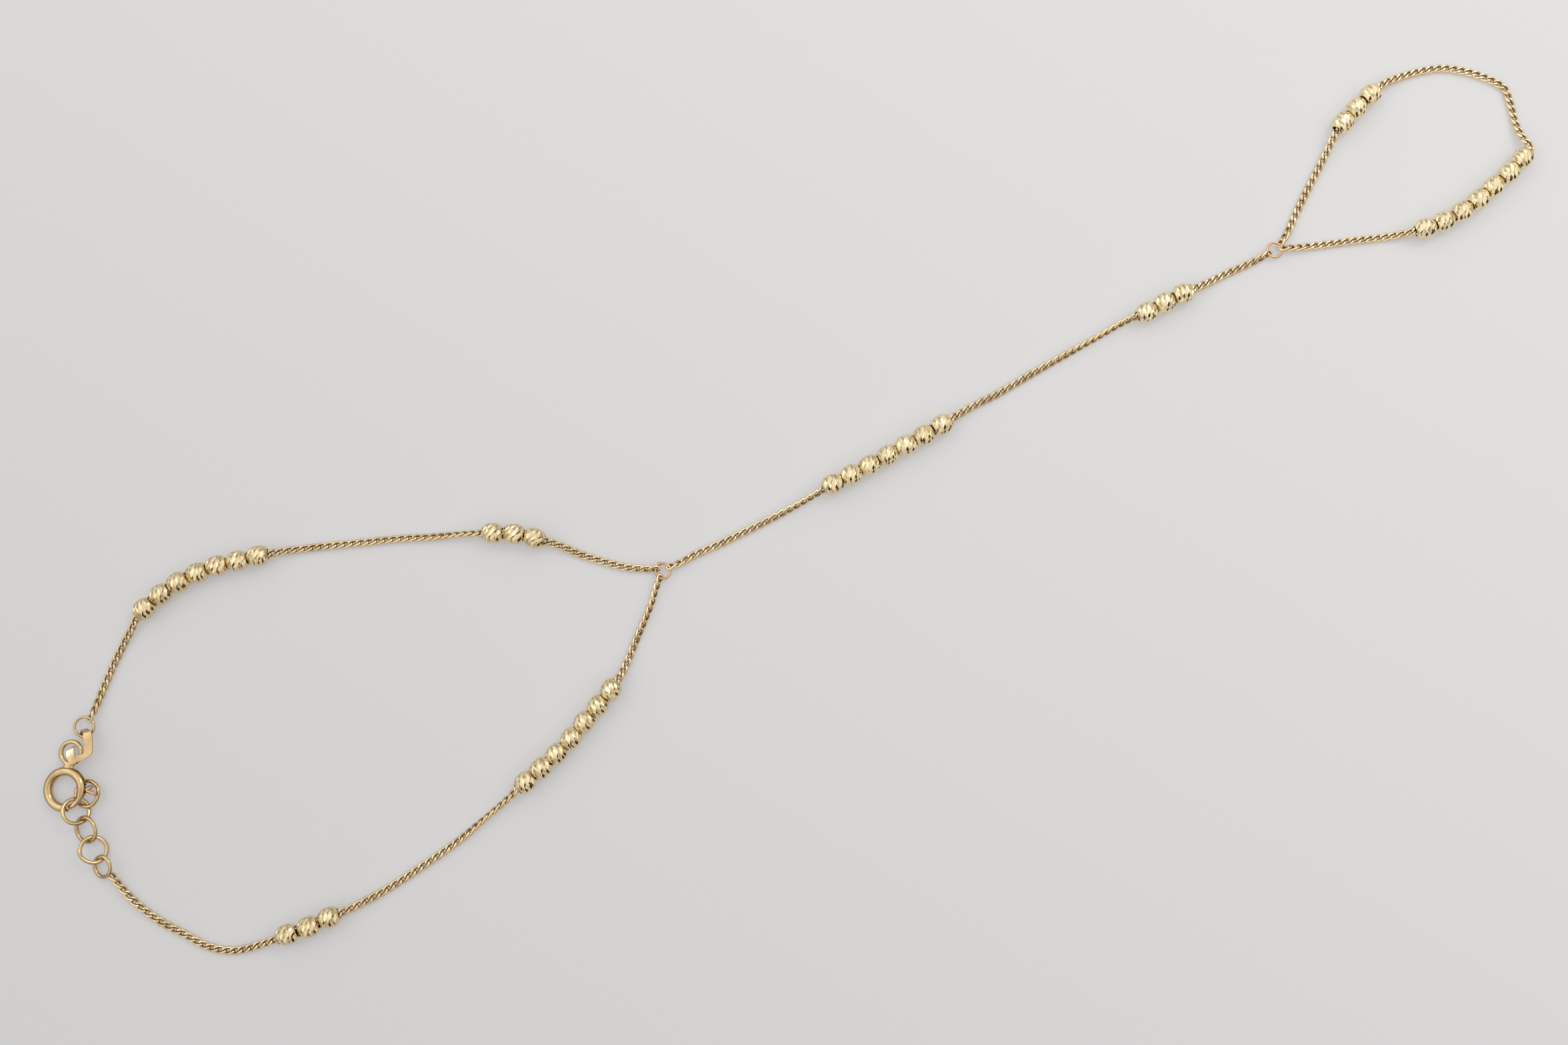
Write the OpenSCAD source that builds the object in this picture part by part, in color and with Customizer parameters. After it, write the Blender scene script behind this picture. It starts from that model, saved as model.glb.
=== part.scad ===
// Hand chain bracelet: a wrist loop and a finger loop of fine curb chain, joined by a third strand over the
// back of the hand, with stations of diamond-cut beads and a spring ring clasp on five extension links.
// It lies spread on a flat surface at z = 0. X runs from the clasp to the finger loop.

/* [Beads] */
// Diameter of a diamond-cut bead
bead_d = 2.5; // [2.3:0.1:2.9]
// Length of a bead along its bore
bead_len = 2.44; // [2.2:0.02:2.7]
// Radial clearance between the chain and the bore of a bead
bore_clearance = 0.12; // [0.08:0.01:0.15]
// Facets in one row round a bead
facets_round = 5; // [5:1:7]

/* [Curb chain] */
// Width of the chain where it lies flat
chain_w = 1.05; // [0.95:0.05:1.1]
// Diameter of the wire of a link
wire_d = 0.24; // [0.18:0.02:0.26]
// Length that one link adds to a strand
link_pitch = 0.98; // [0.94:0.02:1.2]
// Free play between two neighbouring links
link_play = 0.12; // [0.1:0.01:0.16]
// Turn of each end of a link out of the plane of its middle
link_twist = 52; // [46:1:58]

/* [Junction rings] */
// Outer diameter of the rings that join the strands
junction_d = 2.15; // [2.05:0.05:2.4]
// Diameter of their wire
junction_wire = 0.3; // [0.24:0.02:0.34]
// Diameter of the bead of solder on the wrist ring
solder_d = 0.5; // [0.4:0.05:0.6]

/* [Clasp] */
// Outer diameter of the spring ring
spring_d = 5.5; // [5.4:0.1:5.8]
// Diameter of its tube
tube_d = 1.1; // [1:0.05:1.2]
// Wall of the tube
tube_wall = 0.16; // [0.12:0.01:0.2]
// Radial clearance of the bolt in the tube
bolt_clearance = 0.06; // [0.04:0.01:0.09]
// Opening of the ring, bridged by the bolt, as an angle
mouth_angle = 59; // [52:1:60]
// Outer diameter of the soldered eye
eye_d = 3.2; // [3:0.1:3.4]
// Diameter of the wire of the eye
eye_wire = 0.56; // [0.5:0.02:0.62]
// Slope of the ring, whose trigger side lies on the end link
spring_tilt = 9.5; // [9:0.1:10]
// Outer diameter of the thin jump ring
jump_d = 2.7; // [2.6:0.1:2.9]
// Diameter of its wire
jump_wire = 0.33; // [0.26:0.01:0.36]
// Width of the folded band between the jump ring and the eye
band_w = 1.15; // [0.9:0.05:1.2]
// Thickness of the band
band_t = 0.22; // [0.16:0.02:0.26]

/* [Extension links] */
// Outer diameter of the round extension links
extension_d = 3.44; // [3.4:0.02:3.5]
// Diameter of their wire
extension_wire = 0.4; // [0.34:0.02:0.44]

/* [Hidden] */

// Routes of the strands over the surface, each from its first ring to its last. A row holds X, Y, how far
// the chain is raised towards the height of a bead's bore, as a share, and its turn about its own line.
ROUTE_FINGER = [
  [59.6, 31.8, 0.15, -60], [60.8, 33.7, 0.05, -30], [61.5, 35.3, 0, 0], [63.1, 38.5, 0, 0],
  [65.4, 42.9, 0.3, 0], [66.6, 45.5, 0.9, 0], [67.8, 47.3, 1, 0], [69.5, 49.1, 1, 0], [71.3, 50.9, 1, 0],
  [73.5, 52.6, 0.5, 0], [77.2, 54.0, 0, 0], [80.7, 54.6, 0, 0], [83.6, 54.2, 0, 0], [86.1, 53.4, 0, 0],
  [88.3, 52.2, 0, 0], [89.0, 50.7, 0, 0], [89.5, 48.4, 0, 0], [89.9, 46.6, 0.3, 0], [90.4, 45.2, 0.7, 0],
  [91.1, 44.0, 1, 0], [90.6, 43.4, 1, 0], [90.0, 42.7, 1, 0], [88.2, 40.8, 1, 0], [86.3, 39.1, 1, 0],
  [84.3, 37.4, 1, 0], [82.2, 35.9, 1, 0], [79.8, 34.6, 1, 0], [77.5, 33.7, 1, 0], [75.0, 33.1, 0.4, 0],
  [72.0, 32.7, 0, 0], [68.5, 32.3, 0, 0], [64.9, 31.8, 0, 0], [62.4, 31.5, 0.05, 30], [59.9, 31.3, 0.15, 60]];
ROUTE_HAND = [
  [-16.2, -8.5, 0.15, -60], [-14.7, -7.9, 0.05, -35], [-13.0, -6.9, 0, -10], [-10.0, -5.6, 0, 0],
  [-4.3, -2.8, 0, 25], [-0.3, -0.7, 0.3, 60], [3.5, 1.5, 1, 30], [6.0, 2.8, 1, 0], [8.3, 4.0, 1, 0],
  [10.5, 5.2, 1, 0], [12.6, 6.4, 1, 0], [14.8, 7.6, 1, 0], [17.0, 8.9, 1, 0], [20.9, 11.3, 0.25, 20],
  [24.4, 13.1, 0, 20], [28.6, 15.6, 0, 25], [32.7, 17.9, 0, 50], [36.8, 20.2, 0, 65], [40.0, 22.0, 0.5, 50],
  [42.7, 23.1, 1, 15], [44.9, 24.3, 1, 0], [47.2, 25.4, 1, 0], [50.0, 26.7, 0.4, 0], [52.8, 28.1, 0, 0],
  [54.8, 29.0, 0, 10], [56.5, 29.8, 0.05, 35], [58.1, 30.7, 0.15, 60]];
ROUTE_LEFT = [
  [-17.8, -8.7, 0.15, -60], [-19.4, -8.7, 0.05, -35], [-22.2, -8.4, 0, 0], [-27.0, -7.0, 0, 0],
  [-29.7, -5.9, 0.35, 0], [-32.7, -5.0, 1, 0], [-35.2, -4.5, 1, 0], [-38.0, -4.4, 1, 20],
  [-41.5, -4.5, 0.35, 60], [-45.1, -4.8, 0, 30], [-49.0, -5.0, 0, 20], [-54.0, -5.5, 0, 15],
  [-59.8, -6.1, 0, 10], [-63.4, -6.6, 0.4, 0], [-66.4, -7.2, 1, 0], [-68.8, -7.8, 1, 0], [-71.3, -8.4, 1, 0],
  [-73.7, -9.3, 1, 0], [-75.9, -10.4, 1, 0], [-77.9, -11.8, 1, 0], [-79.8, -13.5, 1, 0],
  [-80.9, -14.8, 0.8, 0], [-81.7, -16.3, 0.4, 0], [-83.1, -18.9, 0, 0], [-84.4, -22.0, 0, 0],
  [-85.4, -24.8, 0.05, 25], [-86.2, -26.9, 0.15, 60]];
ROUTE_RIGHT = [
  [-17.4, -9.8, 0.15, -60], [-17.9, -11.2, 0.05, -60], [-18.6, -13.5, 0, -65], [-20.2, -17.3, 0, -40],
  [-21.5, -20.6, 0.3, 0], [-22.2, -22.0, 0.8, 0], [-23.2, -23.5, 1, 0], [-24.8, -25.5, 1, 0],
  [-26.4, -27.4, 1, 0], [-27.9, -29.3, 1, 0], [-29.6, -31.1, 1, 0], [-31.4, -32.8, 1, 0], [-33.3, -34.5, 1, 0],
  [-34.6, -35.7, 0.8, 30], [-35.9, -36.9, 0.35, 60], [-38.6, -39.2, 0, 60], [-42.0, -42.0, 0, 15],
  [-48.3, -46.3, 0, 0], [-53.0, -49.0, 0.35, 0], [-56.5, -50.5, 1, 0], [-58.9, -51.6, 1, 0],
  [-61.4, -52.5, 1, 0], [-64.6, -53.7, 0.4, 0], [-68.0, -54.5, 0, 0], [-71.1, -54.0, 0, 0],
  [-73.9, -52.6, 0, 0], [-77.0, -51.0, 0, 0], [-80.1, -48.7, 0.1, 30], [-82.9, -45.6, 0.25, 60]];

// Stations of beads: strand, the row of its route that their middle lies on, how many, and the gap between
// two beads as a share of their length
STATIONS = [
  ["finger", 7, 3, 0.04], ["finger", 24, 7, 0.06], ["hand", 9, 7, 0.047], ["hand", 20, 3, 0.04],
  ["left", 6, 3, 0.06], ["left", 17, 7, 0.045], ["right", 9, 7, 0.03], ["right", 20, 3, 0.09]];

// Middles of the two junction rings, the jump ring, the spring ring and the eye on the surface
FINGER_RING = [58.9, 31.1];
WRIST_RING = [-17.0, -9.0];
JUMP_RING = [-86.9, -27.9];
SPRING_RING = [-88.8, -35.4];
EYE_ANGLE = 82;

// Extension links, from the free end to the chain: X and Y from the piece before, as shares of the diameter
// of that piece, height above the surface as a share of the wire, azimuth of the raised side, slope, and
// diameter as a share. The first two both start from the spring ring.
EXTENSION = [
  [0.461, -0.095, 0, -18, 14.5, 1], [0.285, -0.463, 0, 206, 38, 1], [0.348, -0.656, 0.23, 28, 28, 1],
  [0.29, -0.685, 0, 203, 28, 1], [0.315, -0.585, 0.15, 24, 28, 0.84]];

// Middle line of the folded band: X and Y from the eye as shares of its diameter, height as a share of the
// tube, azimuth of the width of the band, and that width as a share
BAND = [
  [0.36, 0.57, 0.17, 134, 1], [0.44, 0.68, 0.17, 145, 0.95], [0.47, 0.77, 0.21, 168, 0.8],
  [0.48, 0.82, 0.50, 178, 0.7], [0.49, 0.81, 0.88, 180, 0.7], [0.56, 0.71, 1.18, 180, 0.85],
  [0.59, 0.50, 1.40, 180, 1], [0.59, 0.28, 1.50, 180, 1], [0.56, 0.08, 1.53, 163, 0.95],
  [0.44, -0.11, 1.53, 133, 0.85], [0.26, -0.22, 1.47, 103, 0.8], [0.07, -0.22, 1.33, 78, 0.85],
  [-0.05, -0.11, 1.16, 40, 0.9], [-0.08, 0.05, 0.90, 8, 0.95], [-0.06, 0.16, 0.56, -10, 0.95],
  [-0.01, 0.25, 0.27, -20, 0.9]];

// Rows of corners on a bead: place along its half length and radius, as shares
BEAD_ROWS = [[-0.93, 0.7], [-0.68, 0.86], [-0.36, 0.965], [0, 1], [0.36, 0.965], [0.68, 0.86], [0.93, 0.7]];

STRANDS = ["finger", "hand", "left", "right"];
BEADS_EACH = 10;
EXTENSION_LINKS = len(EXTENSION);

ROUND_FN = 48;
LINK_STEPS = 10;
WIRE_SIDES = 5;
TUBE_SIDES = 8;
ROUTE_STEPS = 6;
TUBE_RING_GAP = 0.5;
BEAD_TURN = 47;
chain_seat = 0.012;
LINK_SQUARENESS = 0.7;

// Curb chain, seen along its length: half width of a link's middle line, half length, and its thickness
link_b = (chain_w - wire_d) / 2;
link_a = (link_pitch + wire_d + link_play) / 2;
chain_t = wire_d + 2 * link_b
  * max([for (t = [0 : 5 : 90]) pow(sin(t), LINK_SQUARENESS) * sin(link_twist * cos(t))]);
bore_r = chain_w / 2 + bore_clearance;
// A link's tip passes a ring's wire by this much
link_reach = (wire_d + junction_wire) / 2 + link_play / 2;

spring_r = (spring_d - tube_d) / 2;
tube_bore = tube_d - 2 * tube_wall;
bolt_d = tube_bore - 2 * bolt_clearance;
spring_z = tube_d / 2 + spring_r * sin(spring_tilt);
mouth_end = -21;
mouth_start = mouth_end - mouth_angle;
bolt_seat = 6;
bolt_tail = 8;
trigger_angle = 0;
trigger_travel = 50;
trigger_pin = 0.36;
trigger_w = 1.0;
trigger_h = 0.6;
trigger_l = 0.55;
crimp_angle = 7;
crimp = 0.14;
eye_r = (eye_d - eye_wire) / 2;
eye_place = spring_d / 2 + eye_d / 2 + 0.1;
neck_d = 0.45;

GOLD = "#d9bd86";
BRIGHT_GOLD = "#e6cf98";
ROSE = "#c99a78";

// Routes

function route_of(strand) =
  strand == "finger" ? ROUTE_FINGER : strand == "hand" ? ROUTE_HAND : strand == "left" ? ROUTE_LEFT : ROUTE_RIGHT;

// Height of the middle of the chain where it lies turned by an angle on the surface
function lying_height(turn) = chain_seat + norm([chain_w / 2 * sin(turn), chain_t / 2 * cos(turn)]);
function chain_height(lift, turn) = let (low = lying_height(turn)) low + lift * (bead_d / 2 - low);

function spline(a, b, c, d, t) =
  0.5 * (2 * b + (c - a) * t + (2 * a - 5 * b + 4 * c - d) * t * t + (3 * b - a - 3 * c + d) * t * t * t);

function smooth(route) = let (last = len(route) - 1) concat(
  [for (i = [0 : last - 1], k = [0 : ROUTE_STEPS - 1])
    spline(route[max(i - 1, 0)], route[i], route[i + 1], route[min(i + 2, last)], k / ROUTE_STEPS)],
  [route[last]]);

function space_points(rows) = [for (r = rows) [r[0], r[1], chain_height(max(r[2], 0), r[3]), r[3]]];

function lengths_along(points) = [
  for (i = 0, total = 0; i < len(points);
       total = total + (i + 1 < len(points) ? norm(xyz(points[i + 1]) - xyz(points[i])) : 0), i = i + 1)
    total];

function xyz(p) = [p[0], p[1], p[2]];

// A strand as a table of length along it, X, Y, Z and turn
function strand_table(route) = let (p = space_points(smooth(route)), s = lengths_along(p))
  [for (i = [0 : len(p) - 1]) concat([s[i]], p[i])];

TABLE_FINGER = strand_table(ROUTE_FINGER);
TABLE_HAND = strand_table(ROUTE_HAND);
TABLE_LEFT = strand_table(ROUTE_LEFT);
TABLE_RIGHT = strand_table(ROUTE_RIGHT);

function table_of(strand) =
  strand == "finger" ? TABLE_FINGER : strand == "hand" ? TABLE_HAND : strand == "left" ? TABLE_LEFT : TABLE_RIGHT;
function strand_length(table) = table[len(table) - 1][0];
function column(table, k) = [for (r = table) [r[0], r[k]]];
function on_strand(table, s) = [for (k = [1 : 4]) lookup(s, column(table, k))];

// Place and directions at a length along a strand: middle, along, across and up, turned with the chain
function frame_at(table, s) = let (
  reach = 0.4,
  here = on_strand(table, s),
  along = unit(xyz(on_strand(table, s + reach)) - xyz(on_strand(table, s - reach))),
  level = unit(cross([0, 0, 1], along)),
  up = cross(along, level),
  turn = here[3])
  [xyz(here), along, level * cos(turn) + up * sin(turn), up * cos(turn) - level * sin(turn)];

function unit(v) = v / norm(v);
function place(frame, p) = frame[0] + p[0] * frame[1] + p[1] * frame[2] + p[2] * frame[3];

// Curb links

// Middle line of one link: an oval whose two ends are turned opposite ways out of its plane
function link_line() = [
  for (i = [0 : LINK_STEPS - 1]) let (
    t = 360 * i / LINK_STEPS,
    side = link_b * sign(sin(t)) * pow(abs(sin(t)), LINK_SQUARENESS),
    turn = link_twist * cos(t))
    [link_a * cos(t), side * cos(turn), side * sin(turn)]];

// Corners of one link's wire about its middle line
function link_corners() = let (line = link_line(), n = len(line)) [
  for (i = [0 : n - 1], j = [0 : WIRE_SIDES - 1]) let (
    along = unit(line[(i + 1) % n] - line[(i + n - 1) % n]),
    outward = unit(line[i] - (line[i] * along) * along),
    angle = 360 * j / WIRE_SIDES)
    line[i] + wire_d / 2 * (cos(angle) * outward + sin(angle) * cross(along, outward))];

// Triangles of a tube that closes on itself: rings of corners, sides in each, and the first corner's number
function closed_tube_faces(rings, sides, first) = [
  for (i = [0 : rings - 1], j = [0 : sides - 1]) let (
    a = first + i * sides + j,
    b = first + i * sides + (j + 1) % sides,
    c = first + ((i + 1) % rings) * sides + (j + 1) % sides,
    d = first + ((i + 1) % rings) * sides + j)
    each [[a, c, b], [a, d, c]]];

function link_count(table) = floor((strand_length(table) + 2 * link_reach - 2 * link_a) / link_pitch) + 1;

// Lengths along the strand of the middles of its links, the first and last hooked over the end rings
function link_places(table) = let (
  n = link_count(table),
  first = link_a - link_reach,
  last = strand_length(table) - first)
  [for (i = [0 : n - 1]) first + (last - first) * i / (n - 1)];

module link_strand(table) {
  corners = link_corners();
  places = link_places(table);
  polyhedron(
    points = [for (s = places) let (f = frame_at(table, s)) each [for (c = corners) place(f, c)]],
    faces = [for (i = [0 : len(places) - 1])
      each closed_tube_faces(LINK_STEPS, WIRE_SIDES, i * LINK_STEPS * WIRE_SIDES)]);
}

// A strand of finer chain as one flattened tube, with a ring of corners at each row of its route
module tube_strand(table) {
  to = strand_length(table) - TUBE_RING_GAP;
  places = [for (i = [0 : ROUTE_STEPS : len(table) - 1]) min(max(table[i][0], TUBE_RING_GAP), to)];
  rings = len(places);
  polyhedron(
    points = [for (s = places) let (f = frame_at(table, s))
      each [for (j = [0 : TUBE_SIDES - 1]) let (angle = 360 * j / TUBE_SIDES)
        place(f, [0, chain_w / 2 * cos(angle), chain_t / 2 * sin(angle)])]],
    faces = concat(
      [for (i = [0 : rings - 2], j = [0 : TUBE_SIDES - 1]) let (
        a = i * TUBE_SIDES + j,
        b = i * TUBE_SIDES + (j + 1) % TUBE_SIDES)
        each [[a, b + TUBE_SIDES, b], [a, a + TUBE_SIDES, b + TUBE_SIDES]]],
      [for (j = [1 : TUBE_SIDES - 2]) each [
        [0, j, j + 1],
        [(rings - 1) * TUBE_SIDES, (rings - 1) * TUBE_SIDES + j + 1, (rings - 1) * TUBE_SIDES + j]]]));
}

module hand_chain() { color(GOLD) link_strand(TABLE_HAND); }
module finger_chain() { color(GOLD) tube_strand(TABLE_FINGER); }
module wrist_chain_left() { color(GOLD) tube_strand(TABLE_LEFT); }
module wrist_chain_right() { color(GOLD) tube_strand(TABLE_RIGHT); }

// Beads

// The station that holds bead number i of a strand, and the bead's place in that station
function stations_of(strand) = [for (s = STATIONS) if (s[0] == strand) s];
function bead_place(strand, i) = let (
  st = stations_of(strand),
  second = i > st[0][2],
  s = second ? st[1] : st[0],
  k = second ? i - 1 - st[0][2] : i - 1)
  table_of(strand)[s[1] * ROUTE_STEPS][0] + (k - (s[2] - 1) / 2) * bead_len * (1 + s[3]);

// Corner k of row i on the outside of a bead; rows are staggered by half a facet
function bead_corner(i, k, turn) = let (
  angle = turn + 360 * (k + i % 2 / 2) / facets_round,
  r = BEAD_ROWS[i][1] * bead_d / 2)
  [BEAD_ROWS[i][0] * bead_len / 2, r * cos(angle), r * sin(angle)];
function bore_corner(end, k, turn) = let (angle = turn + 180 * k / facets_round)
  [end * bead_len / 2, bore_r * cos(angle), bore_r * sin(angle)];

module bead(strand, i) {
  f = frame_at(table_of(strand), bead_place(strand, i));
  turn = BEAD_TURN * i;
  n = facets_round;
  rows = len(BEAD_ROWS);
  bore = rows * n;
  other = bore + 2 * n;
  // Number of corner k of row r, and of corner k of the bore's rim at either end
  function outer(r, k) = r * n + (k + n) % n;
  function near_rim(k) = bore + (k + 2 * n) % (2 * n);
  function far_rim(k) = other + (k + 2 * n) % (2 * n);
  color(BRIGHT_GOLD) polyhedron(
    points = [
      for (r = [0 : rows - 1], k = [0 : n - 1]) place(f, bead_corner(r, k, turn)),
      for (k = [0 : 2 * n - 1]) place(f, bore_corner(-1, k, turn)),
      for (k = [0 : 2 * n - 1]) place(f, bore_corner(1, k, turn))],
    faces = [
      for (r = [0 : rows - 2], k = [0 : n - 1]) each r % 2 == 0
        ? [[outer(r, k), outer(r + 1, k), outer(r, k + 1)],
           [outer(r + 1, k), outer(r + 1, k + 1), outer(r, k + 1)]]
        : [[outer(r, k), outer(r + 1, k + 1), outer(r, k + 1)],
           [outer(r, k), outer(r + 1, k), outer(r + 1, k + 1)]],
      for (k = [0 : n - 1]) each [
        [near_rim(2 * k), near_rim(2 * k - 1), outer(0, k)],
        [near_rim(2 * k + 1), near_rim(2 * k), outer(0, k)],
        [outer(0, k + 1), near_rim(2 * k + 1), outer(0, k)],
        [far_rim(2 * k - 1), far_rim(2 * k), outer(rows - 1, k)],
        [far_rim(2 * k), far_rim(2 * k + 1), outer(rows - 1, k)],
        [far_rim(2 * k + 1), outer(rows - 1, k + 1), outer(rows - 1, k)]],
      for (k = [0 : 2 * n - 1]) each [
        [near_rim(k), near_rim(k + 1), far_rim(k + 1)],
        [near_rim(k), far_rim(k + 1), far_rim(k)]]]);
}

// Rings

module torus(outer_d, wire) {
  rotate_extrude($fn = ROUND_FN) translate([(outer_d - wire) / 2, 0]) circle(d = wire, $fn = 24);
}

// A ring whose one side is raised
module sloped_torus(middle, azimuth, slope, outer_d, wire) {
  translate(middle) rotate([0, 0, azimuth]) rotate([0, -slope, 0]) torus(outer_d, wire);
}

junction_z = chain_height(0.15, 60);

module finger_ring_link() {
  color(ROSE) translate([FINGER_RING.x, FINGER_RING.y, junction_z]) torus(junction_d, junction_wire);
}

module wrist_ring_link() {
  solder_angle = 118;
  color(ROSE) translate([WRIST_RING.x, WRIST_RING.y, junction_z]) {
    torus(junction_d, junction_wire);
    rotate([0, 0, solder_angle]) translate([junction_d / 2 - junction_wire / 4, 0, 0])
      sphere(d = solder_d, $fn = ROUND_FN);
  }
}

module clasp_jump_ring() {
  color(GOLD) translate([JUMP_RING.x, JUMP_RING.y, junction_z]) torus(jump_d, jump_wire);
}

// Middle on the surface of extension link i, counted on from the spring ring
function extension_place(i) = let (e = EXTENSION[i - 1])
  i <= 2 ? SPRING_RING + spring_d * [e[0], e[1]] : extension_place(i - 1) + extension_d * [e[0], e[1]];

module extension_link(i) {
  e = EXTENSION[i - 1];
  d = extension_d * e[5];
  low = extension_wire / 2 + (d - extension_wire) / 2 * sin(e[4]);
  color(GOLD) sloped_torus(concat(extension_place(i), [low + e[2] * extension_wire]), e[3], e[4], d,
    extension_wire);
}

// Spring ring

module on_spring_ring() {
  translate([SPRING_RING.x, SPRING_RING.y, spring_z]) rotate([0, -spring_tilt, 0]) children();
}

// An arc of round bar about the middle of the spring ring
module arc(from, angle, d) {
  rotate([0, 0, from]) rotate_extrude(angle = angle, $fn = 2 * ROUND_FN) translate([spring_r, 0])
    circle(d = d, $fn = 32);
}

module spring_ring() {
  tube_angle = 360 - mouth_angle;
  color(GOLD) on_spring_ring() difference() {
    union() {
      arc(mouth_end + crimp_angle, tube_angle - 2 * crimp_angle, tube_d);
      arc(mouth_end, tube_angle, tube_d - crimp);
      rotate([0, 0, EYE_ANGLE]) {
        translate([eye_place, 0, 0]) torus(eye_d, eye_wire);
        translate([spring_r, 0, 0]) rotate([0, 90, 0])
          cylinder(d = neck_d, h = eye_place - eye_r - spring_r, $fn = 32);
      }
    }
    rotate_extrude($fn = 2 * ROUND_FN) translate([spring_r, 0]) circle(d = tube_bore, $fn = 32);
    rotate([0, 0, trigger_angle - 9]) rotate_extrude(angle = trigger_travel + 18, $fn = 2 * ROUND_FN)
      translate([spring_r, -trigger_pin / 2 - bolt_clearance]) square([tube_d, trigger_pin + 2 * bolt_clearance]);
  }
}

module spring_bolt() {
  head = spring_d / 2 + 0.12;
  color(BRIGHT_GOLD) on_spring_ring() {
    arc(mouth_start - bolt_seat, trigger_angle + bolt_tail + bolt_seat - mouth_start, bolt_d);
    rotate([0, 0, trigger_angle]) {
      translate([spring_r, 0, 0]) rotate([0, 90, 0]) cylinder(d = trigger_pin, h = head - spring_r + 0.2, $fn = 24);
      difference() {
        translate([head, -trigger_w / 2, -trigger_h / 2]) cube([trigger_l, trigger_w, trigger_h]);
        // Notch that leaves two prongs for a fingernail
        translate([head + trigger_l, 0, 0]) rotate([0, 0, 45])
          cube([trigger_w * 0.35, trigger_w * 0.35, 2 * trigger_h], center = true);
      }
    }
  }
}

// Folded band

function band_point(i) = let (b = BAND[i])
  [eye_middle.x + b[0] * eye_d, eye_middle.y + b[1] * eye_d, b[2] * tube_d];
eye_middle = [SPRING_RING.x + eye_place * cos(EYE_ANGLE), SPRING_RING.y + eye_place * sin(EYE_ANGLE)];

module clasp_band() {
  last = len(BAND) - 1;
  color(BRIGHT_GOLD) polyhedron(
    points = [for (i = [0 : last]) let (
      across = [cos(BAND[i][3]), sin(BAND[i][3]), 0],
      along = unit(band_point(min(i + 1, last)) - band_point(max(i - 1, 0))),
      out = unit(cross(along, across)),
      w = across * band_w * BAND[i][4] / 2,
      t = out * band_t / 2)
      each [band_point(i) - w - t, band_point(i) + w - t, band_point(i) + w + t, band_point(i) - w + t]],
    faces = concat(
      [for (i = [0 : last - 1], j = [0 : 3]) let (a = 4 * i + j, b = 4 * i + (j + 1) % 4)
        each [[a, b, b + 4], [a, b + 4, a + 4]]],
      [[0, 2, 1], [0, 3, 2], [4 * last, 4 * last + 1, 4 * last + 2], [4 * last, 4 * last + 2, 4 * last + 3]]));
}

hand_chain();
finger_chain();
wrist_chain_left();
wrist_chain_right();
finger_ring_link();
wrist_ring_link();
clasp_jump_ring();
clasp_band();
spring_ring();
spring_bolt();
for (i = [1 : EXTENSION_LINKS])
  extension_link(i);
for (strand = STRANDS, i = [1 : BEADS_EACH])
  bead(strand, i);
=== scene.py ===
"""Finishes for the hand chain bracelet: curb chains link by link, cut beads, clasp and studio stage."""
import bisect
import math
import random

import bpy
import numpy as np
from mathutils import Matrix, Vector


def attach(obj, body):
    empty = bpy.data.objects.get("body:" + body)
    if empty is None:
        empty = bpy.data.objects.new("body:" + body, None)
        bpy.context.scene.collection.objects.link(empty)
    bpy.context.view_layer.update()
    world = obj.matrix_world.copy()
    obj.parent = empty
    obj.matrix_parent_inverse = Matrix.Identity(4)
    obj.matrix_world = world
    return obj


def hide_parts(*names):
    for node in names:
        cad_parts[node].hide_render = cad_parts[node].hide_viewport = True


bl_info = {
    "name": "Hand chain bracelet finishes",
    "version": (1, 0, 0),
    "blender": (4, 5, 0),
    "location": "3D View > Sidebar > Bracelet",
    "description": "Dresses the bracelet's frame with fine chain, cut beads, clasp details and a stage",
    "category": "Object",
}

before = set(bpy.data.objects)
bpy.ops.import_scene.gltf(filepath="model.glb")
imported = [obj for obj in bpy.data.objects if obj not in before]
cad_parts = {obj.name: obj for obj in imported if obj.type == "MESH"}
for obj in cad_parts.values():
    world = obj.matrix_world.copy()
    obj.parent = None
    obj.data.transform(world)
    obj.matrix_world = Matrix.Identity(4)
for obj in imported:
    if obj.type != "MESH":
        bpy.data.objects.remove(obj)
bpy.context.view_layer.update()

MM = 0.001
BRACELET = "bracelet"
BOLT = "bolt"

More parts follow.
